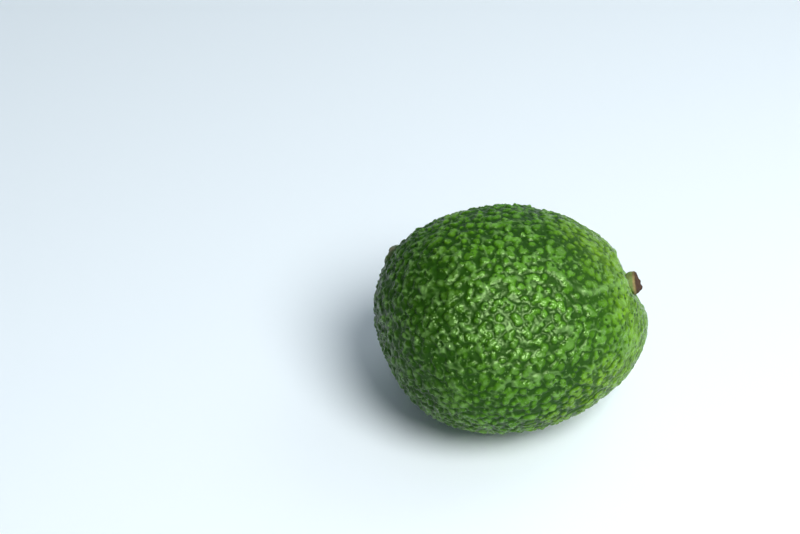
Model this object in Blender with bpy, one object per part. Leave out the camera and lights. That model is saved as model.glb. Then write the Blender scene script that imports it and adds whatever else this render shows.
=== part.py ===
"""A whole green avocado lying on its side, as picked, with its woody stem button.

Metres, +Z up. +X runs from the blossom end to the stem end, and the neck dips a
little, as it does on a table. The origin is the centre of the small flat spot
that the fruit rests on, about a millimetre from straight below its centre of mass.
"""

import math

import bmesh
import bpy
import numpy as np
from mathutils import Matrix, Vector

# The fruit's smooth body, measured at its widest
LENGTH = 0.0847
WIDTH = 0.0710
HEIGHT = 0.0677
NECK_TAPER = 0.089  # how much slimmer the stem half is than the blossom half
END_FULLNESS = 0.085  # how much blunter both ends are than an ellipsoid's
REST_PITCH = math.radians(4.2)  # how far the neck dips when the fruit lies still

# Low swells and flats that make the fruit lopsided: where, how high, how far they reach
SWELL_REACH = 0.42
SWELLS = {
    "back of the belly": ((0.04, 0.62, 0.78), 0.00109),
    "shoulder of the blossom end": ((-0.81, 0.49, 0.32), 0.00142),
    "flat of the blossom end": ((-0.95, -0.08, -0.29), -0.00179),
    "underside of the belly": ((-0.61, -0.50, -0.62), -0.00089),
    "back of the neck": ((0.64, 0.35, 0.69), 0.00110),
    "flat above the stem": ((0.88, 0.10, 0.47), -0.00195),
    "tip of the neck": ((0.97, -0.21, 0.12), 0.00135),
    "front of the neck": ((0.84, -0.50, -0.20), 0.00045),
}

# Pebbles of the skin: a flat-topped bump each, with a valley line round it
PEBBLES = 640
PEBBLE_SEED = 11
PEBBLE_JITTER = 0.30  # as a share of the distance between neighbours
PEBBLE_TOP = 0.56  # width of the top, as a share of the pebble's
PEBBLE_HEIGHT = 0.00032  # of an average pebble's top above the smooth body
VALLEY_DEPTH = 0.00038
PEBBLE_SPREAD = 0.45  # tops vary by this share of their height, up or down
NECK_RELIEF = 0.50  # the relief left at the stem end, as a share of the belly's
NECK_START = 0.2  # where the relief starts to fade, as a share of the half length

# Rings of small pebbles round the stem, which carry the shape of its hollow
STEM_RINGS = 4
RING_SPACING = 0.45  # as a share of the distance between the other pebbles

# The hollow that the stem button sits in, and the low ridges that run into it
STEM_DIRECTION = (0.90, -0.10, 0.42)
HOLLOW_DEPTH = 0.0030
HOLLOW_FLOOR_RADIUS = 0.0062
HOLLOW_RADIUS = 0.0130
RIDGES = 7
RIDGE_BEND = 1.4  # how unevenly the ridges are spaced round the stem, in radians
RIDGE_HEIGHT = 0.00022
RIDGE_REACH = 0.019

# The corky scar that the flower leaves, off the middle of the blossom end
SCAR_DIRECTION = (-0.745, 0.545, 0.385)
SCAR_RADIUS = 0.0032
SCAR_HEIGHT = 0.0012

# The flat spot under the fruit, where its pebbles are worn smooth
SPOT_DEPTH = 0.00055
SPOT_SMOOTH_RADIUS = 0.0085
SPOT_FADE_RADIUS = 0.0150

# The stem button, a turned woody stub that stands in a plain socket
FIT_GAP = 0.0003
PLUG_RADIUS = 0.0023
PLUG_DEPTH = 0.0030
PLUG_BEVEL = 0.0004
BUTTON_RADIUS = 0.0036
BUTTON_HEIGHT = 0.0038
BUTTON_SIDES = 28
BUTTON_LOBES = ((2, 0.050, 0.4), (3, 0.035, 1.9), (5, 0.020, 4.1))
CUT_SLANT = 0.10  # rise of the torn top across the button

SKIN_GREEN = (0.055, 0.145, 0.018, 1.0)
STEM_BROWN = (0.170, 0.075, 0.025, 1.0)


def clear_scene():
    for item in list(bpy.data.objects):
        bpy.data.objects.remove(item)


def principled(name, colour, roughness, metallic=0.0):
    material = bpy.data.materials.new(name)
    material.use_nodes = True
    material.diffuse_color = colour
    shader = material.node_tree.nodes["Principled BSDF"]
    shader.inputs["Base Color"].default_value = colour
    shader.inputs["Roughness"].default_value = roughness
    shader.inputs["Metallic"].default_value = metallic
    return material


def unit(vectors):
    vectors = np.asarray(vectors, float)
    return vectors / np.linalg.norm(vectors, axis=-1, keepdims=True)


def smoothstep(low, high, value):
    share = np.clip((value - low) / (high - low), 0.0, 1.0)
    return share * share * (3.0 - 2.0 * share)


def girth(along):
    """How wide the body is at a place along it, before the ellipsoid's own rounding."""
    return 1.0 - NECK_TAPER * along


def widest_girth():
    along = np.linspace(-1.0, 1.0, 401)
    return float((np.sqrt(1.0 - along**2) * girth(along)).max())


def lopsided_body(directions):
    """The smooth body's points in the directions given, round its own middle."""
    along = directions[:, 0]
    across = girth(along) / widest_girth()
    points = np.column_stack(
        [
            LENGTH / 2 * along * (1.0 + END_FULLNESS * (1.0 - along**2)),
            WIDTH / 2 * across * directions[:, 1],
            HEIGHT / 2 * across * directions[:, 2],
        ]
    )
    outward = unit(points)
    for place, height in SWELLS.values():
        apart = np.linalg.norm(directions - np.array(place), axis=1)
        swell = height * np.exp(-(apart**2) / (2 * SWELL_REACH**2))
        points = points + outward * swell[:, None]
    return points


def place_on_body(direction):
    """A point of the smooth body and its outward normal."""
    middle = unit(direction)
    side = unit(np.cross(middle, (0.0, 0.3, 1.0)))
    up = np.cross(middle, side)
    step = 0.01
    around = unit([middle, middle + step * side, middle + step * up])
    here, beside, above = lopsided_body(around)
    normal = unit(np.cross(beside - here, above - here))
    if normal @ here < 0:
        normal = -normal
    return here, normal


def pressed_hollow(points):
    """The points with the stem's hollow pressed in and its ridges drawn."""
    here, normal = place_on_body(STEM_DIRECTION)
    offset = points - here
    height = offset @ normal
    flat = offset - height[:, None] * normal
    radius = np.linalg.norm(flat, axis=1)
    near = np.where(height > -HOLLOW_RADIUS, 1.0, 0.0)
    inside = near * (1.0 - smoothstep(HOLLOW_FLOOR_RADIUS, HOLLOW_RADIUS, radius))
    side = unit(np.cross(normal, (0.0, 0.0, 1.0)))
    turn = np.arctan2(flat @ np.cross(normal, side), flat @ side)
    reach = smoothstep(HOLLOW_FLOOR_RADIUS, 0.8 * HOLLOW_RADIUS, radius)
    reach = near * reach * (1.0 - smoothstep(0.5 * RIDGE_REACH, RIDGE_REACH, radius))
    ridge = reach * np.cos(RIDGES * turn + RIDGE_BEND * np.sin(2 * turn))
    sunk = -(height + HOLLOW_DEPTH) * inside + RIDGE_HEIGHT * ridge
    return points + sunk[:, None] * normal, radius


def lying_down(points):
    """Points of the body turned to the way that the fruit lies."""
    turn = np.array(Matrix.Rotation(REST_PITCH, 3, "Y"))
    return points @ turn.T


def rings_round_stem(spacing):
    """Directions in rings round the stem, closer together than the other pebbles."""
    middle = unit(STEM_DIRECTION)
    side = unit(np.cross(middle, (0.0, 0.0, 1.0)))
    up = np.cross(middle, side)
    rings = [middle[None]]
    for ring in range(1, STEM_RINGS + 1):
        count = 6 * ring
        turn = 2 * math.pi * (np.arange(count) + 0.5 * (ring % 2)) / count
        around = np.outer(np.cos(turn), side) + np.outer(np.sin(turn), up)
        rings.append(unit(middle + math.tan(ring * spacing) * around))
    return np.vstack(rings)


def pebble_directions():
    """One direction for each pebble, evenly spread round the fruit and then jittered."""
    index = np.arange(PEBBLES) + 0.5
    along = 1.0 - 2.0 * index / PEBBLES
    turn = index * math.pi * (1.0 + math.sqrt(5.0))
    ring = np.sqrt(1.0 - along**2)
    spread = np.column_stack([along, ring * np.cos(turn), ring * np.sin(turn)])
    pitch = math.sqrt(4.0 * math.pi / PEBBLES)
    chance = np.random.default_rng(PEBBLE_SEED)
    spread = unit(spread + chance.normal(0.0, PEBBLE_JITTER * pitch / 2, spread.shape))
    between_rings = RING_SPACING * pitch
    clear = math.cos((STEM_RINGS + 1) * between_rings)
    away = spread[spread @ unit(STEM_DIRECTION) < clear]
    return np.vstack([rings_round_stem(between_rings), away])


def pebbled_ball():
    """A unit ball with one many-sided top for each pebble, and a band of faces round it.

    Also gives each vertex's height, 1 for a top and 0 for a valley's corner, and its pebble.
    """
    mesh = bmesh.new()
    middles = [mesh.verts.new(direction) for direction in pebble_directions()]
    bmesh.ops.convex_hull(mesh, input=mesh.verts)
    between_middles = list(mesh.edges)
    bmesh.ops.poke(mesh, faces=mesh.faces)
    bmesh.ops.rotate_edges(mesh, edges=between_middles)
    bmesh.ops.dissolve_verts(mesh, verts=middles)
    tops = list(mesh.faces)
    bmesh.ops.inset_individual(mesh, faces=tops, thickness=0.0)
    mesh.verts.index_update()
    top = np.zeros(len(mesh.verts))
    pebble = np.zeros(len(mesh.verts), int)
    for number, face in enumerate(tops):
        middle = face.calc_center_median()
        for vert in face.verts:
            vert.co = middle.lerp(vert.co, PEBBLE_TOP)
            top[vert.index] = 1.0
            pebble[vert.index] = number
    for vert in mesh.verts:
        vert.co.normalize()
    bmesh.ops.recalc_face_normals(mesh, faces=mesh.faces)
    return mesh, top, pebble


def relief(directions, top, pebble, stem_distance, spot_distance):
    """How far each vertex stands out of the smooth body: pebble tops up, valleys down."""
    chance = np.random.default_rng(PEBBLE_SEED + 1)
    size = 1.0 + PEBBLE_SPREAD * chance.uniform(-1.0, 1.0, pebble.max() + 1)
    lift = np.where(top > 0, PEBBLE_HEIGHT * size[pebble], -VALLEY_DEPTH)
    lift *= 1.0 - (1.0 - NECK_RELIEF) * smoothstep(NECK_START, 1.0, directions[:, 0])
    lift *= smoothstep(HOLLOW_FLOOR_RADIUS, RIDGE_REACH, stem_distance)
    return lift * smoothstep(SPOT_SMOOTH_RADIUS, SPOT_FADE_RADIUS, spot_distance)


def scar_lift(points):
    """The low corky mound of the blossom scar."""
    here, _ = place_on_body(SCAR_DIRECTION)
    apart = np.linalg.norm(points - here, axis=1) / SCAR_RADIUS
    return SCAR_HEIGHT * np.exp(-(apart**4))


def normals_of(mesh, points):
    for vert, point in zip(mesh.verts, points):
        vert.co = point
    mesh.normal_update()
    return np.array([vert.normal for vert in mesh.verts])


def stem_frame(shift):
    """The matrix that stands the stem button on the floor of its hollow."""
    here, normal = place_on_body(STEM_DIRECTION)
    floor = lying_down((here - HOLLOW_DEPTH * normal)[None])[0] + shift
    axis = Vector(lying_down(normal[None])[0])
    turn = axis.to_track_quat("Z", "Y").to_matrix().to_4x4()
    return Matrix.Translation(Vector(floor)) @ turn


def make_fruit(skin):
    """The pebbled fruit, and how far it was moved to put the origin at its flat spot."""
    mesh, top, pebble = pebbled_ball()
    directions = np.array([vert.co for vert in mesh.verts])
    body = lopsided_body(directions)
    pressed, stem_distance = pressed_hollow(body)
    scar = scar_lift(body)
    lying = lying_down(pressed)
    lowest = lying[lying[:, 2].argmin()]
    spot_distance = np.linalg.norm(lying - lowest, axis=1)
    lift = relief(directions, top, pebble, stem_distance, spot_distance) + scar
    lying = lying + normals_of(mesh, lying) * lift[:, None]
    under = lying[lying[:, 2] < lying[:, 2].min() + SPOT_DEPTH]
    shift = -np.array([*under[:, :2].mean(axis=0), lying[:, 2].min() + SPOT_DEPTH])
    for vert, point in zip(mesh.verts, lying + shift):
        vert.co = point
    flatten_spot(mesh)
    fruit = linked("fruit", mesh, skin)
    return fruit, shift


def flatten_spot(mesh):
    """Cuts the fruit off at the table and closes the cut with one flat face."""
    every = [*mesh.verts, *mesh.edges, *mesh.faces]
    cut = bmesh.ops.bisect_plane(
        mesh,
        geom=every,
        dist=1e-6,
        plane_co=(0.0, 0.0, 0.0),
        plane_no=(0.0, 0.0, -1.0),
        clear_outer=True,
    )
    rim = [item for item in cut["geom_cut"] if isinstance(item, bmesh.types.BMEdge)]
    bmesh.ops.contextual_create(mesh, geom=rim)
    bmesh.ops.recalc_face_normals(mesh, faces=mesh.faces)


def linked(name, mesh, material):
    """An object made from a bmesh, shaded smooth, in the scene."""
    data = bpy.data.meshes.new(name)
    mesh.to_mesh(data)
    mesh.free()
    data.shade_smooth()
    data.set_sharp_from_angle(angle=math.radians(60))
    if material is not None:
        data.materials.append(material)
    made = bpy.data.objects.new(name, data)
    bpy.context.scene.collection.objects.link(made)
    return made


def cut_socket(fruit, frame):
    """The plain hole that the stem button's plug stands in."""
    mesh = bmesh.new()
    radius = PLUG_RADIUS + FIT_GAP
    bmesh.ops.create_cone(
        mesh,
        cap_ends=True,
        segments=BUTTON_SIDES,
        radius1=radius,
        radius2=radius,
        depth=2 * (PLUG_DEPTH + FIT_GAP),
    )
    cutter = linked("socket_cutter", mesh, None)
    cutter.matrix_world = frame
    cutter.hide_render = True
    cutter.display_type = "WIRE"
    socket = fruit.modifiers.new("Stem socket", "BOOLEAN")
    socket.operation = "DIFFERENCE"
    socket.solver = "EXACT"
    socket.object = cutter


def button_profile():
    """The button's outline from the foot of its plug to the middle of its torn top."""
    return (
        (0.0, -PLUG_DEPTH),
        (PLUG_RADIUS - PLUG_BEVEL, -PLUG_DEPTH),
        (PLUG_RADIUS, -PLUG_DEPTH + PLUG_BEVEL),
        (PLUG_RADIUS, FIT_GAP),
        (0.80 * BUTTON_RADIUS, FIT_GAP),
        (0.97 * BUTTON_RADIUS, 0.20 * BUTTON_HEIGHT),
        (1.00 * BUTTON_RADIUS, 0.40 * BUTTON_HEIGHT),
        (0.90 * BUTTON_RADIUS, 0.70 * BUTTON_HEIGHT),
        (0.80 * BUTTON_RADIUS, 0.95 * BUTTON_HEIGHT),
        (0.70 * BUTTON_RADIUS, BUTTON_HEIGHT),
        (0.52 * BUTTON_RADIUS, 0.88 * BUTTON_HEIGHT),
        (0.22 * BUTTON_RADIUS, 0.86 * BUTTON_HEIGHT),
        (0.0, 0.90 * BUTTON_HEIGHT),
    )


def make_stem_button(bark, frame):
    """The woody stub: its outline turned once round, then pushed out of round."""
    mesh = bmesh.new()
    outline = [mesh.verts.new((radius, 0.0, height)) for radius, height in button_profile()]
    edges = [mesh.edges.new(pair) for pair in zip(outline, outline[1:])]
    bmesh.ops.spin(
        mesh,
        geom=[*outline, *edges],
        cent=(0.0, 0.0, 0.0),
        axis=(0.0, 0.0, 1.0),
        angle=2 * math.pi,
        steps=BUTTON_SIDES,
        use_merge=True,
    )
    bmesh.ops.remove_doubles(mesh, verts=mesh.verts, dist=1e-6)
    for vert in mesh.verts:
        head = smoothstep(FIT_GAP, 0.3 * BUTTON_HEIGHT, vert.co.z)
        turn = math.atan2(vert.co.y, vert.co.x)
        lobes = sum(size * math.cos(count * turn + start) for count, size, start in BUTTON_LOBES)
        vert.co.x *= 1.0 + head * lobes
        vert.co.y *= 1.0 + head * lobes
        vert.co.z += head * CUT_SLANT * vert.co.x
    bmesh.ops.recalc_face_normals(mesh, faces=mesh.faces)
    button = linked("stem_button", mesh, bark)
    button.matrix_world = frame
    return button


def main():
    clear_scene()
    skin = principled("avocado_skin", SKIN_GREEN, roughness=0.42)
    bark = principled("stem_bark", STEM_BROWN, roughness=0.80)
    fruit, shift = make_fruit(skin)
    frame = stem_frame(shift)
    cut_socket(fruit, frame)
    make_stem_button(bark, frame)


main()
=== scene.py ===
"""The looks of a whole green avocado: its pebbled skin, its stem button and a plain studio.

Everything is in metres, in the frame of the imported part: +X runs from the blossom end
to the stem end, +Z is up, and the fruit rests on the floor at the origin.
"""

import math

import bmesh
import bpy
import numpy as np
from bpy.props import FloatProperty, FloatVectorProperty, IntProperty, PointerProperty
from bpy.types import Operator, Panel, PropertyGroup
from mathutils import Matrix, Vector, kdtree, noise


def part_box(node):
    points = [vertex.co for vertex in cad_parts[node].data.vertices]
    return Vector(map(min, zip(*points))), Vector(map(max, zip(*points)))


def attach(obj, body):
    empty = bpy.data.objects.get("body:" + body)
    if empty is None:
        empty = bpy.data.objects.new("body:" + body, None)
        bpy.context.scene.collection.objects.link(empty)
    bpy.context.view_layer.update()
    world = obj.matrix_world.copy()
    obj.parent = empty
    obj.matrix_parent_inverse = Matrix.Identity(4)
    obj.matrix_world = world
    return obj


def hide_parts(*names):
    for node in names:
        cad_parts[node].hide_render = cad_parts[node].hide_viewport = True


bl_info = {
    "name": "Avocado",
    "version": (1, 0, 0),
    "blender": (4, 5, 0),
    "location": "View3D > Sidebar > Avocado",
    "description": "A whole green avocado with pebbled skin and a woody stem button",
    "category": "Object",
}

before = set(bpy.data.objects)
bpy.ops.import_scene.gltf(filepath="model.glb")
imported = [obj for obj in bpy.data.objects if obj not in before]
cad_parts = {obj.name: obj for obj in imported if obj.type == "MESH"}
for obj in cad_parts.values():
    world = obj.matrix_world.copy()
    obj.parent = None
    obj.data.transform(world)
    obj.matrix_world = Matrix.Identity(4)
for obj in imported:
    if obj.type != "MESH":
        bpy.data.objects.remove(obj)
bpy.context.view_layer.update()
FRUIT_LOW, FRUIT_HIGH = (np.array(corner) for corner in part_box("fruit"))
FRUIT_SIZE = FRUIT_HIGH - FRUIT_LOW
STEM_LOW, STEM_HIGH = (np.array(corner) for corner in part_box("stem_button"))

# The smooth egg's length, width and height, as shares of the fruit's box in the frame
BODY_SHARES = np.array((1.000, 0.985, 0.997))
PROFILE_STEPS = 401
NECK_TAPER = 0.089
END_FULLNESS = 0.085
REST_PITCH = math.radians(4.2)
SWELL_REACH = 0.42
SWELLS = {
    "back of the belly": ((0.04, 0.62, 0.78), 0.00109),
    "shoulder of the blossom end": ((-0.81, 0.49, 0.32), 0.00142),
    "flat of the blossom end": ((-0.95, -0.08, -0.29), -0.00179),
    "underside of the belly": ((-0.61, -0.50, -0.62), -0.00089),
    "back of the neck": ((0.64, 0.35, 0.69), 0.00110),
    "flat above the stem": ((0.88, 0.10, 0.47), -0.00195),
    "tip of the neck": ((0.97, -0.21, 0.12), 0.00135),
    "front of the neck": ((0.84, -0.50, -0.20), 0.00045),
}
SPOT_DEPTH = 0.00055
SPOT_SMOOTH_RADIUS = 0.0085
SPOT_FADE_RADIUS = 0.0150
SPOT_SIDE_HEIGHT = 0.010  # the highest that the skin beside the resting spot gets
STEM_DIRECTION = (0.90, -0.10, 0.42)
SCAR_DIRECTION = (-0.745, 0.545, 0.385)

# Ridges that run into the stem's hollow: turn round the stem, how far out they reach, and
# how far they bend aside before they end
RIDGES = (
    (-0.88, 0.0385, -0.38),
    (-2.30, 0.0160, 0.20),
    (0.25, 0.0150, -0.25),
    (1.50, 0.0180, 0.20),
    (2.60, 0.0140, 0.25),
)
RIDGE_WIDTH = 0.0008
RIDGE_HEIGHT = 0.00034
RIDGE_BENDS_FROM = 0.7  # where a ridge starts to bend, as a share of its reach
RIDGE_FADES_FROM = 0.8  # where it starts to fade, as a share of its reach
RIDGE_RISES_OVER = 0.7  # where it is whole, as a share of the hollow's flat floor
RIDGE_GAPS = (-0.6, 0.3)  # the noise that a ridge has gaps at, and that it is whole at
RIDGE_GAP_SCALE = 500.0
COLLAR_RING = (0.0054, 0.0009, 0.00012)  # the raised ring round the stem: radius, width, height
COLLAR_RADII = (0.0045, 0.0075)  # where the collar's colour starts to fade, and where it ends

SWELL_HEIGHT = 0.0004  # of the slow unevenness under the pebbles
SCAR_HEIGHT = 0.0012
SKIN_AREA = 0.0190  # of the whole fruit, in square metres
FAR = 1.0  # a distance that is out of reach of everything on the fruit

# Where the two ends start and are whole, from 0 at the belly to 1 at the tip
NECK_REACH = (0.0, 0.95)
BLOSSOM_REACH = (0.1, 0.95)
CALM_REACH = (0.0, 0.85)
CROWD_REACH = (0.1, 0.9)
CALM_UNEVENNESS = 0.3
HOLLOW_RELIEF = 0.15  # the relief left on the hollow's floor, as a share of that round it
HOLLOW_CALM_FROM = 0.8  # where that calm floor ends, as a share of the flat floor's radius

# The pebbles and pits: their random seeds, and ranges for their sizes, one by one
PEBBLE_SEED = 5
PEBBLE_SIZE_SEED = 6
PIT_SEED = 9
PIT_SIZE_SEED = 10
PIT_CROWDING = 0.6
SCATTER_JITTER = 0.25  # in shares of the distance between neighbours
PEBBLE_NEIGHBOURS = 7
PEBBLE_TALLNESS = (0.40, 1.10)
PEBBLE_REACH = (0.50, 0.80)  # in shares of the distance between neighbours
PEBBLE_SHARPNESS = 8.0  # how little neighbouring pebbles melt into each other
PEBBLE_DOME = (-0.05, 0.65)  # the pebble field at a dome's foot and where its flat top starts
TOP_LEAN = 0.20  # how steeply the pebbles' flat tops lean, each its own way
TOP_LEAN_FADE = 0.02  # brings the lean to nothing in the valleys
PIT_DEEPNESS = (0.1, 1.0)

# Noises on the skin: cells in a metre, and the seed or the distance that they move points
WANDER_SEEDS = (11.3, 23.9, 37.1)
PEBBLE_WANDER = (300.0, 0.0009)
PIT_WANDER = (500.0, 0.0004)
CREST_WANDER = (700.0, 0.0004)
CREST_NOISE = (350.0, 4.2)
CALM_NOISE = (60.0, 5.7)
WRINKLE_NOISE = (620.0, 3.1)
SWELL_NOISE = (95.0, 8.4)

# The crests' loops: how narrow and how round they are, and how they break up
CREST_NARROWNESS = 3.0
CREST_ROUNDNESS = 1.5
CREST_GAPS = (-0.30, 0.25)
CREST_GAP_SCALE = 0.7
CREST_GAP_SEED = 3.7
CREST_LEFT = 0.35  # what is left of a crest in its gaps

# The sphere that the skin is drawn on: its first triangles, and the cuts in each edge
BALL_STEPS = 6
BALL_CUTS = 2


class AvocadoSkinSizes(PropertyGroup):
    """Sizes of the skin's pebbles, wrinkles and hollow."""

    pebbles: IntProperty(
        name="Pebbles", description="How many pebbles cover the skin", default=3400, min=200
    )
    neck_crowding: FloatProperty(
        name="Neck crowding",
        description="How much closer together the pebbles are at the neck",
        default=0.5,
    )
    pebble_height: FloatProperty(
        name="Pebble height",
        description="Height of the tallest pebbles over their valleys",
        default=0.00048,
        unit="LENGTH",
        precision=5,
    )
    pits: IntProperty(
        name="Pits", description="How many pits the skin has", default=2600, min=0
    )
    pit_depth: FloatProperty(
        name="Pit depth",
        description="Depth of the deepest pits",
        default=0.00040,
        unit="LENGTH",
        precision=5,
    )
    pit_radius: FloatProperty(
        name="Pit radius",
        description="Radius of the pits",
        default=0.00055,
        unit="LENGTH",
        precision=5,
    )
    wrinkle_height: FloatProperty(
        name="Wrinkle height",
        description="Height of the fine wrinkles that run over the pebbles",
        default=0.00010,
        unit="LENGTH",
        precision=5,
    )
    crest_height: FloatProperty(
        name="Crest height",
        description="Height of the thin crests that join the pebbles",
        default=0.00034,
        unit="LENGTH",
        precision=5,
    )
    neck_relief: FloatProperty(
        name="Neck relief",
        description="The relief left at the stem end, as a share of the belly's",
        default=0.42,
        subtype="FACTOR",
    )
    hollow_depth: FloatProperty(
        name="Hollow depth",
        description="How far the stem's hollow is pressed in",
        default=0.0030,
        unit="LENGTH",
        precision=5,
    )
    hollow_radius: FloatProperty(
        name="Hollow radius",
        description="Radius of the stem's hollow at its rim",
        default=0.0130,
        unit="LENGTH",
        precision=5,
    )
    hollow_floor: FloatProperty(
        name="Hollow floor",
        description="Radius of the flat floor of the stem's hollow",
        default=0.0062,
        unit="LENGTH",
        precision=5,
    )
    scar_radius: FloatProperty(
        name="Scar radius",
        description="Radius of the corky scar on the blossom end",
        default=0.0032,
        unit="LENGTH",
        precision=5,
    )


class AvocadoColours(PropertyGroup):
    """Colours of the skin and of the stem button."""

    green: FloatVectorProperty(
        name="Green",
        description="The pebbles' own green",
        subtype="COLOR",
        default=(0.077, 0.234, 0.009),
    )
    # Also the colour of painted highlights: the tallest pebbles, the crests and the ridges are
    # painted paler where light catches them; the flecks are the skin's own pale dots
    top: FloatVectorProperty(
        name="Pebble tops",
        description="The paler green of the tallest pebbles, the crests and the flecks",
        subtype="COLOR",
        default=(0.225, 0.415, 0.120),
    )
    # Also the colour of painted shade: the valleys between the pebbles and the pits are painted
    # darker where shade falls in them; the mottling and the pores are the skin's own dark green
    valley: FloatVectorProperty(
        name="Valleys",
        description="The dark green between the pebbles, in the pits and in the pores",
        subtype="COLOR",
        default=(0.012, 0.052, 0.002),
    )
    cheek: FloatVectorProperty(
        name="Sunny cheek",
        description="The yellow-green of the side that grew in the sun",
        subtype="COLOR",
        default=(0.200, 0.390, 0.014),
    )
    # Painted shade that darkens the blossom end, partly the end's own deeper green; the random
    # patches are the skin's own deeper green
    deep_green_and_painted_shade: FloatVectorProperty(
        name="Shaded end",
        description="The deeper green of the blossom end and of some patches",
        subtype="COLOR",
        default=(0.018, 0.058, 0.003),
    )
    cork: FloatVectorProperty(
        name="Cork",
        description="The grey-brown cork of the blossom scar",
        subtype="COLOR",
        default=(0.190, 0.165, 0.115),
    )
    collar: FloatVectorProperty(
        name="Collar",
        description="The yellow-green of the skin and the stem where they meet",
        subtype="COLOR",
        default=(0.150, 0.225, 0.045),
    )
    stem: FloatVectorProperty(
        name="Stem",
        description="The tan of the stem's dry edge",
        subtype="COLOR",
        default=(0.260, 0.200, 0.070),
    )
    stem_end: FloatVectorProperty(
        name="Stem end",
        description="The dark brown of the stem's torn end",
        subtype="COLOR",
        default=(0.058, 0.024, 0.009),
    )


class AvocadoStudio(PropertyGroup):
    """The floor, the light and the camera."""

    floor_colour: FloatVectorProperty(
        name="Floor", description="Colour of the floor", subtype="COLOR", default=(0.83, 0.87, 0.93)
    )
    floor_size: FloatProperty(
        name="Floor size", description="Length of the floor's sides", default=6.0, unit="LENGTH"
    )
    sky_strength: FloatProperty(
        name="Sky strength", description="Strength of the light from all round", default=0.53
    )
    lens: FloatProperty(
        name="Lens", description="Focal length in millimetres", default=70.0
    )


def unit(vectors):
    vectors = np.asarray(vectors, float)
    return vectors / np.linalg.norm(vectors, axis=-1, keepdims=True)


def smoothstep(low, high, value):
    share = np.clip((value - low) / (high - low), 0.0, 1.0)
    return share * share * (3.0 - 2.0 * share)


def lopsided_body(directions):
    """The smooth body's points in the directions given, round its own middle."""
    along = directions[:, 0]
    every = np.linspace(-1.0, 1.0, PROFILE_STEPS)
    widest = (np.sqrt(1.0 - every**2) * (1.0 - NECK_TAPER * every)).max()
    across = (1.0 - NECK_TAPER * along) / widest
    length, width, height = BODY_SHARES * FRUIT_SIZE / 2
    points = np.column_stack(
        [
            length * along * (1.0 + END_FULLNESS * (1.0 - along**2)),
            width * across * directions[:, 1],
            height * across * directions[:, 2],
        ]
    )
    outward = unit(points)
    for place, height in SWELLS.values():
        apart = np.linalg.norm(directions - np.array(place), axis=1)
        swell = height * np.exp(-(apart**2) / (2 * SWELL_REACH**2))
        points = points + outward * swell[:, None]
    return points


def place_on_body(direction):
    """A point of the smooth body and its outward normal."""
    middle = unit(direction)
    side = unit(np.cross(middle, (0.0, 0.3, 1.0)))
    up = np.cross(middle, side)
    step = 0.01
    around = unit([middle, middle + step * side, middle + step * up])
    here, beside, above = lopsided_body(around)
    normal = unit(np.cross(beside - here, above - here))
    if normal @ here < 0:
        normal = -normal
    return here, normal


def lying_down(points):
    """Points of the body turned to the way that the fruit lies."""
    turn = np.array(Matrix.Rotation(REST_PITCH, 3, "Y"))
    return points @ turn.T


def shift_to_frame(points):
    """How far to move the body's points so that they fill the fruit's box in the frame."""
    low, high = points.min(axis=0), points.max(axis=0)
    shift = (FRUIT_LOW + FRUIT_HIGH - low - high) / 2
    shift[2] = FRUIT_LOW[2] - SPOT_DEPTH - low[2]
    return shift


def around_stem(points):
    """Each point's distance from the stem's axis, turn round it and height above its foot."""
    here, normal = place_on_body(STEM_DIRECTION)
    offset = points - here
    height = offset @ normal
    flat = offset - height[:, None] * normal
    side = unit(np.cross(normal, (0.0, 0.0, 1.0)))
    turn = np.arctan2(flat @ np.cross(normal, side), flat @ side)
    return np.linalg.norm(flat, axis=1), turn, height


def ridges_round_stem(radius, turn, sizes):
    """How high each point stands on the ridges that run into the stem's hollow, from 0 to 1."""
    crest = np.zeros(len(radius))
    for start, reach, bend in RIDGES:
        bent = start + bend * smoothstep(RIDGE_BENDS_FROM * reach, reach, radius)
        apart = (turn - bent + math.pi) % (2 * math.pi) - math.pi
        across = radius * np.sin(np.clip(apart, -math.pi / 2, math.pi / 2))
        along = smoothstep(0.0, RIDGE_RISES_OVER * sizes.hollow_floor, radius)
        along = along * (1.0 - smoothstep(RIDGE_FADES_FROM * reach, reach, radius))
        crest = np.maximum(crest, along * np.exp(-((across / RIDGE_WIDTH) ** 2)))
    outward = radius[:, None] * (1.0, 0.0, 0.0)
    return crest * smoothstep(*RIDGE_GAPS, noise_at(outward, RIDGE_GAP_SCALE))


def pressed_hollow(points, sizes):
    """The points with the flat-floored hollow of the stem pressed in."""
    radius, _, height = around_stem(points)
    _, normal = place_on_body(STEM_DIRECTION)
    near = np.where(height > -sizes.hollow_radius, 1.0, 0.0)
    inside = near * (1.0 - smoothstep(sizes.hollow_floor, sizes.hollow_radius, radius))
    return points - (inside * (height + sizes.hollow_depth))[:, None] * normal


def scattered(count, crowding, seed):
    """Directions spread evenly but unevenly jittered, closer together towards the neck."""
    every = np.linspace(-1.0, 1.0, PROFILE_STEPS)
    crowd = 1.0 + crowding * smoothstep(*CROWD_REACH, every)
    share = np.cumsum(crowd) / crowd.sum()
    along = np.interp((np.arange(count) + 0.5) / count, share, every)
    turn = np.arange(count) * math.pi * (1.0 + math.sqrt(5.0))
    ring = np.sqrt(1.0 - along**2)
    spread = np.column_stack([along, ring * np.cos(turn), ring * np.sin(turn)])
    pitch = math.sqrt(4.0 * math.pi / count)
    chance = np.random.default_rng(seed)
    return unit(spread + chance.normal(0.0, SCATTER_JITTER * pitch, spread.shape))


def noise_at(points, scale, seed=0.0, octaves=1):
    """Soft noise from about -1 to 1 at each point."""
    start = Vector((seed, 2.3 * seed, -1.7 * seed))
    return np.array(
        [noise.fractal(Vector(point) * scale + start, 0.9, 2.0, octaves) for point in points]
    )


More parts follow.
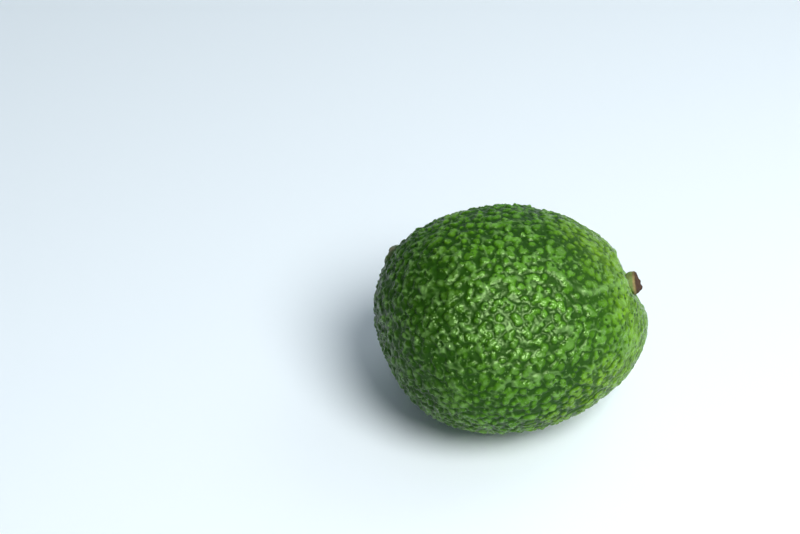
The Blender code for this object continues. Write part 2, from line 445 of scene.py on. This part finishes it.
def wandered(points, scale, far):
    """The points moved a little by noise, so that what is drawn with them gets uneven."""
    moves = [noise_at(points, scale, seed) for seed in WANDER_SEEDS]
    return points + far * np.column_stack(moves)


def nearest(points, middles, count):
    """The numbers of the middles nearest to each point, and how far away they are."""
    tree = kdtree.KDTree(len(middles))
    for number, middle in enumerate(middles):
        tree.insert(middle, number)
    tree.balance()
    found = [tree.find_n(point, count) for point in points]
    number = np.array([[one[1] for one in near] for near in found])
    away = np.array([[one[2] for one in near] for near in found])
    return number, away


def bumps(points, middles, seed):
    """A field of round bumps that melt into each other: about 1 on a tall top, 0 in a valley.

    Also gives how far each point rises over the middle of its bump's top, which leans.
    """
    number, away = nearest(points, middles, PEBBLE_NEIGHBOURS)
    pitch = math.sqrt(SKIN_AREA / len(middles))
    chance = np.random.default_rng(seed)
    tall = chance.uniform(*PEBBLE_TALLNESS, len(middles))
    reach = pitch * chance.uniform(*PEBBLE_REACH, len(middles))
    each = tall[number] - (away / reach[number]) ** 2
    lean = chance.normal(0.0, TOP_LEAN, middles.shape)
    share = np.exp(-PEBBLE_SHARPNESS * (away / reach[number]) ** 2 / 2)
    rise = ((points[:, None] - middles[number]) * lean[number]).sum(axis=2)
    rise = (rise * share).sum(axis=1) / (share.sum(axis=1) + TOP_LEAN_FADE)
    return np.log(np.exp(PEBBLE_SHARPNESS * each).sum(axis=1)) / PEBBLE_SHARPNESS, rise


def pits(points, middles, radius, seed):
    """A field of small round pits: up to 1 in the middle of one, 0 away from them."""
    number, away = nearest(points, middles, 1)
    deep = np.random.default_rng(seed).uniform(*PIT_DEEPNESS, len(middles))
    return deep[number[:, 0]] * np.exp(-((away[:, 0] / radius) ** 2))


def crests(points, scale, seed):
    """Thin crests in broken loops over the skin: up to 1 along a crest, 0 away from it."""
    loops = 1.0 - CREST_NARROWNESS * np.abs(noise_at(points, scale, seed))
    loops = np.clip(loops, 0.0, 1.0) ** CREST_ROUNDNESS
    gaps = noise_at(points, CREST_GAP_SCALE * scale, seed + CREST_GAP_SEED)
    return loops * (CREST_LEFT + (1.0 - CREST_LEFT) * smoothstep(*CREST_GAPS, gaps))


def skin_ball():
    """A unit ball of small triangles for the skin."""
    mesh = bmesh.new()
    bmesh.ops.create_icosphere(mesh, subdivisions=BALL_STEPS, radius=1.0)
    bmesh.ops.subdivide_edges(mesh, edges=mesh.edges, cuts=BALL_CUTS, use_grid_fill=True)
    for vert in mesh.verts:
        vert.co.normalize()
    return mesh


def normals_of(mesh, points):
    for vert, point in zip(mesh.verts, points):
        vert.co = point
    mesh.normal_update()
    return np.array([vert.normal for vert in mesh.verts])


def linked(name, mesh, material):
    """An object made from a bmesh, shaded smooth, in the scene."""
    data = bpy.data.meshes.new(name)
    mesh.to_mesh(data)
    mesh.free()
    data.shade_smooth()
    data.materials.append(material)
    made = bpy.data.objects.new(name, data)
    bpy.context.scene.collection.objects.link(made)
    return made


def give_attribute(piece, name, values):
    """Keeps one number for each vertex on a piece, for its material to read."""
    attribute = piece.data.attributes.new(name, "FLOAT", "POINT")
    attribute.data.foreach_set("value", np.asarray(values, np.float32))


def make_skin(sizes, material):
    """The fruit's whole surface: the smooth body, the hollow, the pebbles and the scar."""
    mesh = skin_ball()
    directions = np.array([vert.co for vert in mesh.verts])
    body = lopsided_body(directions)
    along = directions[:, 0]
    pebble_middles = lopsided_body(scattered(sizes.pebbles, sizes.neck_crowding, PEBBLE_SEED))
    pebble, leaning = bumps(wandered(body, *PEBBLE_WANDER), pebble_middles, PEBBLE_SIZE_SEED)
    pit_middles = lopsided_body(scattered(sizes.pits, PIT_CROWDING, PIT_SEED))
    pit = pits(wandered(body, *PIT_WANDER), pit_middles, sizes.pit_radius, PIT_SIZE_SEED)
    crest = crests(wandered(body, *CREST_WANDER), *CREST_NOISE)
    radius, turn, height = around_stem(body)
    radius = np.where(height > -FRUIT_SIZE[0] / 2, radius, FAR)
    ridge = ridges_round_stem(radius, turn, sizes)
    calm = 1.0 - (1.0 - sizes.neck_relief) * smoothstep(*CALM_REACH, along)
    calm *= 1.0 + CALM_UNEVENNESS * noise_at(body, *CALM_NOISE)
    calm_floor = HOLLOW_CALM_FROM * sizes.hollow_floor
    hollow_rise = smoothstep(calm_floor, sizes.hollow_radius, radius)
    calm *= HOLLOW_RELIEF + (1.0 - HOLLOW_RELIEF) * hollow_rise
    wrinkle = noise_at(body, *WRINKLE_NOISE, octaves=2)
    swell = noise_at(body, *SWELL_NOISE, octaves=2)
    dome = smoothstep(*PEBBLE_DOME, pebble)
    raised = sizes.pebble_height * (dome - dome.mean()) + dome * leaning
    raised -= sizes.pit_depth * pit
    raised += sizes.crest_height * (crest - crest.mean()) + sizes.wrinkle_height * wrinkle
    scar_at, _ = place_on_body(SCAR_DIRECTION)
    scar = np.exp(-((np.linalg.norm(body - scar_at, axis=1) / sizes.scar_radius) ** 4))
    ring_radius, ring_width, ring_height = COLLAR_RING
    ring = np.exp(-(((radius - ring_radius) / ring_width) ** 2))
    lift = calm * raised + SWELL_HEIGHT * swell + SCAR_HEIGHT * scar
    lift += RIDGE_HEIGHT * ridge + ring_height * ring
    lying = lying_down(pressed_hollow(body, sizes))
    lying = lying + shift_to_frame(lying)
    beside_spot = lying[:, 2] < SPOT_SIDE_HEIGHT
    spot_distance = np.where(beside_spot, np.hypot(lying[:, 0], lying[:, 1]), FAR)
    lift *= smoothstep(SPOT_SMOOTH_RADIUS, SPOT_FADE_RADIUS, spot_distance)
    lying = lying + normals_of(mesh, lying) * lift[:, None]
    lying[:, 2] = np.maximum(lying[:, 2], 0.0)
    for vert, point in zip(mesh.verts, lying):
        vert.co = point
    skin = linked("avocado_skin", mesh, material)
    give_attribute(skin, "pebble", np.clip(pebble, 0.0, 1.0))
    give_attribute(skin, "pit", pit)
    give_attribute(skin, "crest", crest)
    give_attribute(skin, "ridge", np.maximum(ridge, ring))
    give_attribute(skin, "neck", smoothstep(*NECK_REACH, along))
    give_attribute(skin, "blossom", smoothstep(*BLOSSOM_REACH, -along))
    give_attribute(skin, "collar", 1.0 - smoothstep(*COLLAR_RADII, radius))
    give_attribute(skin, "scar", scar)
    return skin


def node(tree, kind, inputs=None, **settings):
    """A shader node with its settings, and its inputs set or linked."""
    made = tree.nodes.new(kind)
    for name, value in settings.items():
        setattr(made, name, value)
    for name, value in (inputs or {}).items():
        if isinstance(value, bpy.types.NodeSocket):
            tree.links.new(value, made.inputs[name])
        else:
            made.inputs[name].default_value = value
    return made


def mixed(tree, share, first, second):
    """The colour between two colours, each a socket or a plain colour."""
    made = tree.nodes.new("ShaderNodeMix")
    made.data_type = "RGBA"
    for name, value in (("Factor_Float", share), ("A_Color", first), ("B_Color", second)):
        socket = next(one for one in made.inputs if one.identifier == name)
        if isinstance(value, bpy.types.NodeSocket):
            tree.links.new(value, socket)
        elif name == "Factor_Float":
            socket.default_value = value
        else:
            socket.default_value = (*value, 1.0)
    return next(one for one in made.outputs if one.identifier == "Result_Color")


def calculated(tree, operation, first, second=0.0):
    """One step of arithmetic on two values, each a socket or a number."""
    made = tree.nodes.new("ShaderNodeMath")
    made.operation = operation
    for socket, value in zip(made.inputs, (first, second)):
        if isinstance(value, bpy.types.NodeSocket):
            tree.links.new(value, socket)
        else:
            socket.default_value = value
    return made.outputs["Value"]


def ranged(tree, value, low, high, to_low=0.0, to_high=1.0):
    """A value brought softly from one range to another, and held inside it."""
    made = node(
        tree,
        "ShaderNodeMapRange",
        {"Value": value, "From Min": low, "From Max": high, "To Min": to_low, "To Max": to_high},
        interpolation_type="SMOOTHSTEP",
    )
    return made.outputs["Result"]


def attribute(tree, name):
    return node(tree, "ShaderNodeAttribute", attribute_name=name).outputs["Fac"]


def new_group(name, inputs, outputs):
    """An empty node group with number and vector inputs, and its two ends."""
    tree = bpy.data.node_groups.new(name, "ShaderNodeTree")
    for label, kind, value in inputs:
        socket = tree.interface.new_socket(name=label, in_out="INPUT", socket_type=kind)
        if value is not None:
            socket.default_value = value
    for label, kind in outputs:
        tree.interface.new_socket(name=label, in_out="OUTPUT", socket_type=kind)
    return tree, tree.nodes.new("NodeGroupInput"), tree.nodes.new("NodeGroupOutput")


DOT_WHOLE = 0.35  # how far out a dot is whole, as a share of its size
MOTTLING_SCALE = 0.22  # the mottling's scale, as a share of the wrinkles' own


def speckles_group():
    """Small round dots scattered unevenly: a mask of where they are."""
    tree, start, end = new_group(
        "speckles",
        (
            ("Coordinates", "NodeSocketVector", None),
            ("Scale", "NodeSocketFloat", 400.0),
            ("Size", "NodeSocketFloat", 0.2),
            ("Share", "NodeSocketFloat", 0.5),
        ),
        (("Mask", "NodeSocketFloat"),),
    )
    place, scale = start.outputs["Coordinates"], start.outputs["Scale"]
    cells = node(tree, "ShaderNodeTexVoronoi", {"Vector": place, "Scale": scale})
    chosen = node(tree, "ShaderNodeSeparateColor", {"Color": cells.outputs["Color"]})
    kept = calculated(tree, "LESS_THAN", chosen.outputs["Red"], start.outputs["Share"])
    whole = calculated(tree, "MULTIPLY", start.outputs["Size"], DOT_WHOLE)
    dot = ranged(tree, cells.outputs["Distance"], start.outputs["Size"], whole)
    tree.links.new(calculated(tree, "MULTIPLY", dot, kept), end.inputs["Mask"])
    return tree


def wrinkles_group():
    """Fine dry wrinkles: their height, and a slower mottling."""
    tree, start, end = new_group(
        "fine_wrinkles",
        (
            ("Coordinates", "NodeSocketVector", None),
            ("Scale", "NodeSocketFloat", 1000.0),
            ("Waviness", "NodeSocketFloat", 0.6),
        ),
        (("Height", "NodeSocketFloat"), ("Mottling", "NodeSocketFloat")),
    )
    place, scale = start.outputs["Coordinates"], start.outputs["Scale"]
    fine = node(
        tree,
        "ShaderNodeTexNoise",
        {"Vector": place, "Scale": scale, "Detail": 3.0, "Distortion": start.outputs["Waviness"]},
    )
    cells = node(
        tree,
        "ShaderNodeTexVoronoi",
        {"Vector": place, "Scale": scale, "Smoothness": 0.6},
        feature="SMOOTH_F1",
    )
    height = calculated(tree, "SUBTRACT", fine.outputs["Fac"], cells.outputs["Distance"])
    slow = calculated(tree, "MULTIPLY", scale, MOTTLING_SCALE)
    mottling = node(tree, "ShaderNodeTexNoise", {"Vector": place, "Scale": slow, "Detail": 4.0})
    tree.links.new(height, end.inputs["Height"])
    tree.links.new(mottling.outputs["Fac"], end.inputs["Mottling"])
    return tree


def grouped(tree, group, inputs):
    """A node group placed in a material."""
    made = tree.nodes.new("ShaderNodeGroup")
    made.node_tree = group
    for name, value in inputs.items():
        if isinstance(value, bpy.types.NodeSocket):
            tree.links.new(value, made.inputs[name])
        else:
            made.inputs[name].default_value = value
    return made


def shared_group(name, build):
    """A node group that is built once and shared by the materials."""
    return bpy.data.node_groups.get(name) or build()


def new_material(name):
    material = bpy.data.materials.new(name)
    material.use_nodes = True
    tree = material.node_tree
    return material, tree, tree.nodes["Principled BSDF"]


# The skin's patterns on its Object coordinates
SKIN_WRINKLES = {"Scale": 1100.0, "Waviness": 0.5}
PATCHES = {"Scale": 42.0, "Detail": 3.0}
SUN = {"Scale": 17.0, "Detail": 2.0}
SUN_AT_NECK = 0.13
FLECKS = {"Scale": 850.0, "Size": 0.30, "Share": 0.45}
FLECK_SHARE = 0.35
PORES = {"Scale": 620.0, "Size": 0.26, "Share": 0.40}
PORE_SHARE = 0.7
# Painted highlight on the ridges into the stem's hollow and on the ring round the stem
RIDGE_PAINTED_HIGHLIGHT = 0.5

# How strongly each pattern shows: the pattern's range, and the shares at its two ends
SUNNY = (0.46, 0.70, 0.0, 1.0)
# Painted shade at the blossom end, partly its own deeper green
BLOSSOM_DEEP_GREEN_AND_PAINTED_SHADE = (0.1, 0.9, 0.0, 0.9)
PATCHED = (0.35, 0.65, 0.0, 0.35)
# Painted highlight on the tallest pebbles
TOPS_PAINTED_HIGHLIGHT = (0.50, 1.0, 0.0, 0.30)
MOTTLED = (0.3, 0.7, 0.35, 0.0)
# Painted shade in the valleys between the pebbles, and how much of it is kept at the neck
VALLEYS_PAINTED_SHADE = (0.10, 0.60, 1.0, 0.0)
PAINTED_VALLEY_SHADE_AT_NECK = (0.0, 1.0, 1.0, 0.5)
# Painted highlight along the crests
CRESTS_PAINTED_HIGHLIGHT = (0.2, 0.9, 0.0, 0.36)
# Painted shade in the pits
PITS_PAINTED_SHADE = (0.10, 0.5, 0.0, 0.9)
CORKY = (0.40, 0.55, 1.0, 0.3)
WRINKLED = (0.1, 0.5, 0.35, 1.0)

GLOSS_TINT = (0.68, 1.0, 0.44)  # of the waxy skin's reflections
SKIN_SHINE = 0.15
SKIN_ROUGHNESS = (0.3, 0.7, 0.20, 0.32)
ROUGHER_VALLEYS = (0.15, 0.50, 0.13, 0.0)
SKIN_BUMP = {"Strength": 0.8, "Distance": 0.00024}


def skin_material(colours):
    """Waxy green skin: painted shade in the valleys and pits, a blossom end of painted shade and
    its own deeper green, painted highlights on the pebble tops, crests and ridges, sunny sides,
    pores and fine wrinkles.
    """
    material, tree, shader = new_material("avocado_skin")
    place = node(tree, "ShaderNodeTexCoord").outputs["Object"]
    pebble, neck = attribute(tree, "pebble"), attribute(tree, "neck")
    wrinkle_group = shared_group("fine_wrinkles", wrinkles_group)
    speckle_group = shared_group("speckles", speckles_group)
    wrinkles = grouped(tree, wrinkle_group, {"Coordinates": place, **SKIN_WRINKLES})
    flecks = grouped(tree, speckle_group, {"Coordinates": place, **FLECKS})
    pores = grouped(tree, speckle_group, {"Coordinates": place, **PORES})
    mottling = wrinkles.outputs["Mottling"]
    patches = node(tree, "ShaderNodeTexNoise", {"Vector": place, **PATCHES})
    sun = node(tree, "ShaderNodeTexNoise", {"Vector": place, **SUN})
    sun_at_neck = calculated(tree, "MULTIPLY", neck, SUN_AT_NECK)
    sunny = ranged(tree, calculated(tree, "ADD", sun.outputs["Fac"], sun_at_neck), *SUNNY)
    # Painted shade: the valleys are darkened where shade falls between the pebbles, less at the
    # neck
    valley = ranged(tree, pebble, *VALLEYS_PAINTED_SHADE)
    valley = calculated(tree, "MULTIPLY", valley, ranged(tree, neck, *PAINTED_VALLEY_SHADE_AT_NECK))
    cork = ranged(tree, mottling, *CORKY)
    layers = (
        (sunny, colours.cheek),
        # painted shade at the blossom end, partly its own deeper green
        (ranged(tree, attribute(tree, "blossom"), *BLOSSOM_DEEP_GREEN_AND_PAINTED_SHADE), colours.deep_green_and_painted_shade),
        (ranged(tree, patches.outputs["Fac"], *PATCHED), colours.deep_green_and_painted_shade),
        # painted highlight on the tallest pebbles
        (ranged(tree, pebble, *TOPS_PAINTED_HIGHLIGHT), colours.top),
        (ranged(tree, mottling, *MOTTLED), colours.valley),
        # painted shade in the valleys
        (valley, colours.valley),
        # painted highlight along the crests
        (ranged(tree, attribute(tree, "crest"), *CRESTS_PAINTED_HIGHLIGHT), colours.top),
        # painted shade in the pits
        (ranged(tree, attribute(tree, "pit"), *PITS_PAINTED_SHADE), colours.valley),
        (calculated(tree, "MULTIPLY", flecks.outputs["Mask"], FLECK_SHARE), colours.top),
        (calculated(tree, "MULTIPLY", pores.outputs["Mask"], PORE_SHARE), colours.valley),
        # painted highlight on the ridges and the ring round the stem
        (calculated(tree, "MULTIPLY", attribute(tree, "ridge"), RIDGE_PAINTED_HIGHLIGHT), colours.top),
        (attribute(tree, "collar"), colours.collar),
        (calculated(tree, "MULTIPLY", attribute(tree, "scar"), cork), colours.cork),
    )
    colour = colours.green
    for share, over in layers:
        colour = mixed(tree, share, colour, over)
    tree.links.new(colour, shader.inputs["Base Color"])
    rougher = ranged(tree, pebble, *ROUGHER_VALLEYS)
    rough = calculated(tree, "ADD", ranged(tree, mottling, *SKIN_ROUGHNESS), rougher)
    tree.links.new(rough, shader.inputs["Roughness"])
    wrinkled = ranged(tree, pebble, *WRINKLED)
    grain = calculated(tree, "MULTIPLY", wrinkles.outputs["Height"], wrinkled)
    bump = node(tree, "ShaderNodeBump", {"Height": grain, **SKIN_BUMP})
    tree.links.new(bump.outputs["Normal"], shader.inputs["Normal"])
    shader.inputs["Specular Tint"].default_value = (*GLOSS_TINT, 1.0)
    shader.inputs["Specular IOR Level"].default_value = SKIN_SHINE
    return material


# The stem's grain and finish, and how high on the stub its colours change
STEM_GRAIN = {"Scale": 1700.0, "Waviness": 1.2}
STEM_DARK_GRAIN = (0.35, 0.65, 0.35, 0.0)
STEM_TAN_FROM = (0.45, 0.58)
STEM_BROWN_FROM = (0.62, 0.80)
STEM_ROUGHNESS = (0.3, 0.7, 0.70, 0.9)
STEM_BUMP = {"Strength": 0.8, "Distance": 0.0003}
STEM_SHINE = 0.2


def stem_material(colours):
    """Dry stem wood: green at its foot, then a tan edge, dark red-brown where it tore."""
    material, tree, shader = new_material("stem_wood")
    place = node(tree, "ShaderNodeTexCoord").outputs["Object"]
    wrinkle_group = shared_group("fine_wrinkles", wrinkles_group)
    grain = grouped(tree, wrinkle_group, {"Coordinates": place, **STEM_GRAIN})
    rise, mottling = attribute(tree, "rise"), grain.outputs["Mottling"]
    wood = mixed(tree, ranged(tree, rise, *STEM_TAN_FROM), colours.collar, colours.stem)
    for share in (
        ranged(tree, rise, *STEM_BROWN_FROM),
        attribute(tree, "end"),
        ranged(tree, mottling, *STEM_DARK_GRAIN),
    ):
        wood = mixed(tree, share, wood, colours.stem_end)
    tree.links.new(wood, shader.inputs["Base Color"])
    tree.links.new(ranged(tree, mottling, *STEM_ROUGHNESS), shader.inputs["Roughness"])
    bump = node(tree, "ShaderNodeBump", {"Height": grain.outputs["Height"], **STEM_BUMP})
    tree.links.new(bump.outputs["Normal"], shader.inputs["Normal"])
    shader.inputs["Specular IOR Level"].default_value = STEM_SHINE
    return material


# The stem button's outline: distance from its axis and height above its foot, in metres
STEM_OUTLINE = (
    (0.0, -0.0030),
    (0.0022, -0.0030),
    (0.0024, -0.0004),
    (0.0031, 0.0002),
    (0.0036, 0.0009),
    (0.0036, 0.0018),
    (0.0034, 0.0025),
    (0.0031, 0.0032),
    (0.0030, 0.0036),
    (0.0025, 0.0038),
    (0.0019, 0.0034),
    (0.0010, 0.0032),
    (0.0, 0.0033),
)
STEM_RADIUS = 0.0036
STEM_TOP = 0.0038
STEM_SIDES = 48
STEM_HIGH_SIDE = (0.64, 0.77)  # the way in which the stub's green foot reaches highest
STEM_SLANT = 0.3  # how much higher it reaches there, as a share of the stub's height
STEM_HEAD = (0.0003, 0.0011)  # the heights over which the stub gets its own uneven shape
STEM_LOBES = ((2, 0.05, 0.4), (3, 0.035, 1.9))  # how many, how deep, and turned how far
STEM_CRACKS = (0.10, 2.2, 200.0)  # how deep, and how many round the stub and up it
STEM_LEAN = 0.10
TORN_FROM = 0.6  # where the torn end starts, as a share of the stub's height
TORN_ROUGHNESS = (0.0003, 700.0)  # how high its splinters stand, and how many in a metre
DARK_HEIGHTS = (0.80, 0.95)  # where its dark colour starts and is whole, in the same shares
DARK_RADII = (0.0032, 0.0026)


def make_stem(material):
    """The woody stub: its outline turned once round, then roughened, with a torn end."""
    mesh = bmesh.new()
    outline = [mesh.verts.new((radius, 0.0, height)) for radius, height in STEM_OUTLINE]
    edges = [mesh.edges.new(pair) for pair in zip(outline, outline[1:])]
    bmesh.ops.spin(
        mesh,
        geom=[*outline, *edges],
        cent=(0.0, 0.0, 0.0),
        axis=(0.0, 0.0, 1.0),
        angle=2 * math.pi,
        steps=STEM_SIDES,
        use_merge=True,
    )
    bmesh.ops.remove_doubles(mesh, verts=mesh.verts, dist=1e-6)
    bmesh.ops.subdivide_edges(mesh, edges=mesh.edges, cuts=1, smooth=0.6, use_grid_fill=True)
    bmesh.ops.recalc_face_normals(mesh, faces=mesh.faces)
    rise, end = [], []
    for vert in mesh.verts:
        radius, turn = math.hypot(vert.co.x, vert.co.y), math.atan2(vert.co.y, vert.co.x)
        high_side = STEM_HIGH_SIDE[0] * vert.co.x + STEM_HIGH_SIDE[1] * vert.co.y
        rise.append(vert.co.z / STEM_TOP - STEM_SLANT * high_side / STEM_RADIUS)
        low, high = (share * STEM_TOP for share in DARK_HEIGHTS)
        end.append(smoothstep(low, high, vert.co.z) * smoothstep(*DARK_RADII, radius))
        head = smoothstep(*STEM_HEAD, vert.co.z)
        lobes = sum(deep * math.cos(count * turn + start) for count, deep, start in STEM_LOBES)
        deep, around, upwards = STEM_CRACKS
        at = Vector((around * math.cos(turn), around * math.sin(turn), upwards * vert.co.z))
        crack = deep * noise.noise(at)
        vert.co.x *= 1.0 + head * (lobes + crack)
        vert.co.y *= 1.0 + head * (lobes + crack)
        torn = smoothstep(TORN_FROM * STEM_TOP, STEM_TOP, vert.co.z)
        splinter, scale = TORN_ROUGHNESS
        vert.co.z += torn * splinter * noise.noise(Vector((vert.co.x, vert.co.y, 0.0)) * scale)
        vert.co.z += head * STEM_LEAN * vert.co.x
    _, normal = place_on_body(STEM_DIRECTION)
    axis = Vector(lying_down(normal[None])[0])
    bmesh.ops.rotate(
        mesh,
        cent=(0.0, 0.0, 0.0),
        matrix=axis.to_track_quat("Z", "Y").to_matrix(),
        verts=mesh.verts,
    )
    points = np.array([vert.co for vert in mesh.verts])
    shift = (STEM_LOW + STEM_HIGH - points.min(axis=0) - points.max(axis=0)) / 2
    bmesh.ops.translate(mesh, vec=shift, verts=mesh.verts)
    stem = linked("avocado_stem", mesh, material)
    give_attribute(stem, "rise", rise)
    give_attribute(stem, "end", end)
    return stem


# The studio's soft lights: direction from the fruit, distance, width, power and colour
LIGHTS = {
    "front_softbox": (18.0, 54.0, 0.9, 0.50, 9.0, (0.97, 1.0, 0.97)),
    "window_side": (112.0, 42.0, 1.2, 0.80, 1.7, (0.94, 0.98, 1.0)),
    "gloss_light": (6.0, 47.0, 0.9, 0.40, 34.0, (1.0, 1.0, 1.0)),
}
GLOSS_ONLY = ("gloss_light",)  # lights that show in reflections, but light nothing up
DIM_SIDE = 0.22  # the sky's strength on the blossom end's side, as a share of the other's
DIM_TO_BRIGHT = (-0.8, 0.4)  # where along X the dim side ends, and where the sky is whole
SKY_COLOUR = (0.78, 0.92, 1.0)
FLOOR_ROUGHNESS = 0.6
FLOOR_SHINE = 0.1
SENSOR_WIDTH = 36.0  # in millimetres
CAMERA_AZIMUTH = math.radians(-15.0)
CAMERA_ELEVATION = math.radians(40.0)
CAMERA_DISTANCE = 0.555
CAMERA_AIM = Vector((-0.0161, 0.0718, 0.0))


def towards(azimuth, elevation):
    """The direction that lies at an azimuth from -Y, turning to +X, and at an elevation."""
    level = math.cos(elevation)
    return Vector((math.sin(azimuth) * level, -math.cos(azimuth) * level, math.sin(elevation)))


def make_floor(studio):
    material, _, shader = new_material("pale_floor")
    shader.inputs["Base Color"].default_value = (*studio.floor_colour, 1.0)
    shader.inputs["Roughness"].default_value = FLOOR_ROUGHNESS
    shader.inputs["Specular IOR Level"].default_value = FLOOR_SHINE
    mesh = bmesh.new()
    bmesh.ops.create_grid(mesh, x_segments=1, y_segments=1, size=studio.floor_size / 2)
    floor = linked("floor", mesh, material)


def make_lights(studio):
    middle = Vector((FRUIT_LOW + FRUIT_HIGH) / 2)
    for name, (azimuth, elevation, distance, width, power, colour) in LIGHTS.items():
        data = bpy.data.lights.new(name, "AREA")
        data.shape = "DISK"
        data.size = width
        data.energy = power
        data.color = colour
        light = bpy.data.objects.new(name, data)
        direction = towards(math.radians(azimuth), math.radians(elevation))
        light.location = middle + distance * direction
        light.rotation_euler = direction.to_track_quat("Z", "Y").to_euler()
        light.visible_diffuse = name not in GLOSS_ONLY
        bpy.context.scene.collection.objects.link(light)
    world = bpy.data.worlds.new("studio_sky")
    world.use_nodes = True
    tree = world.node_tree
    sky = tree.nodes["Background"]
    sky.inputs["Color"].default_value = (*SKY_COLOUR, 1.0)
    direction = node(tree, "ShaderNodeTexCoord").outputs["Generated"]
    side = node(tree, "ShaderNodeSeparateXYZ", {"Vector": direction}).outputs["X"]
    strength = studio.sky_strength
    bright = ranged(tree, side, *DIM_TO_BRIGHT, DIM_SIDE * strength, strength)
    tree.links.new(bright, sky.inputs["Strength"])
    bpy.context.scene.world = world


def make_camera(studio):
    data = bpy.data.cameras.new("camera")
    data.lens = studio.lens
    data.sensor_width = SENSOR_WIDTH
    camera = bpy.data.objects.new("camera", data)
    back = towards(CAMERA_AZIMUTH, CAMERA_ELEVATION)
    camera.location = CAMERA_AIM + CAMERA_DISTANCE * back
    camera.rotation_euler = back.to_track_quat("Z", "Y").to_euler()
    bpy.context.scene.collection.objects.link(camera)
    bpy.context.scene.camera = camera


class AVOCADO_OT_skin(Operator):
    """Makes the pebbled skin in place of the plain fruit"""

    bl_idname = "avocado.skin"
    bl_label = "Make the skin"

    def execute(self, context):
        scene = context.scene
        skin = make_skin(scene.avocado_skin, skin_material(scene.avocado_colours))
        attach(skin, "root")
        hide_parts("fruit")
        return {"FINISHED"}


class AVOCADO_OT_stem(Operator):
    """Makes the woody stem button in its hollow"""

    bl_idname = "avocado.stem"
    bl_label = "Make the stem button"

    def execute(self, context):
        stem = make_stem(stem_material(context.scene.avocado_colours))
        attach(stem, "root")
        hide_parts("stem_button")
        return {"FINISHED"}


class AVOCADO_OT_studio(Operator):
    """Makes the floor, the lights and the camera"""

    bl_idname = "avocado.studio"
    bl_label = "Make the studio"

    def execute(self, context):
        studio = context.scene.avocado_studio
        make_floor(studio)
        make_lights(studio)
        make_camera(studio)
        context.scene.view_settings.view_transform = "Standard"
        return {"FINISHED"}


class AVOCADO_PT_panel(Panel):
    """Lists the avocado's pieces and their settings"""

    bl_idname = "AVOCADO_PT_panel"
    bl_label = "Avocado"
    bl_space_type = "VIEW_3D"
    bl_region_type = "UI"
    bl_category = "Avocado"

    def draw(self, context):
        scene = context.scene
        for operator, groups in (
            (AVOCADO_OT_skin, (scene.avocado_skin, scene.avocado_colours)),
            (AVOCADO_OT_stem, ()),
            (AVOCADO_OT_studio, (scene.avocado_studio,)),
        ):
            box = self.layout.box()
            for group in groups:
                for name in group.__annotations__:
                    box.prop(group, name)
            box.operator(operator.bl_idname)


SETTINGS = {
    "avocado_skin": AvocadoSkinSizes,
    "avocado_colours": AvocadoColours,
    "avocado_studio": AvocadoStudio,
}
CLASSES = (
    *SETTINGS.values(),
    AVOCADO_OT_skin,
    AVOCADO_OT_stem,
    AVOCADO_OT_studio,
    AVOCADO_PT_panel,
)


def register():
    for one in CLASSES:
        bpy.utils.register_class(one)
    for name, group in SETTINGS.items():
        setattr(bpy.types.Scene, name, PointerProperty(type=group))


def unregister():
    for name in SETTINGS:
        delattr(bpy.types.Scene, name)
    for one in reversed(CLASSES):
        bpy.utils.unregister_class(one)


def main():
    register()
    bpy.ops.avocado.skin()
    bpy.ops.avocado.stem()
    bpy.ops.avocado.studio()


if __name__ == "__main__":
    main()
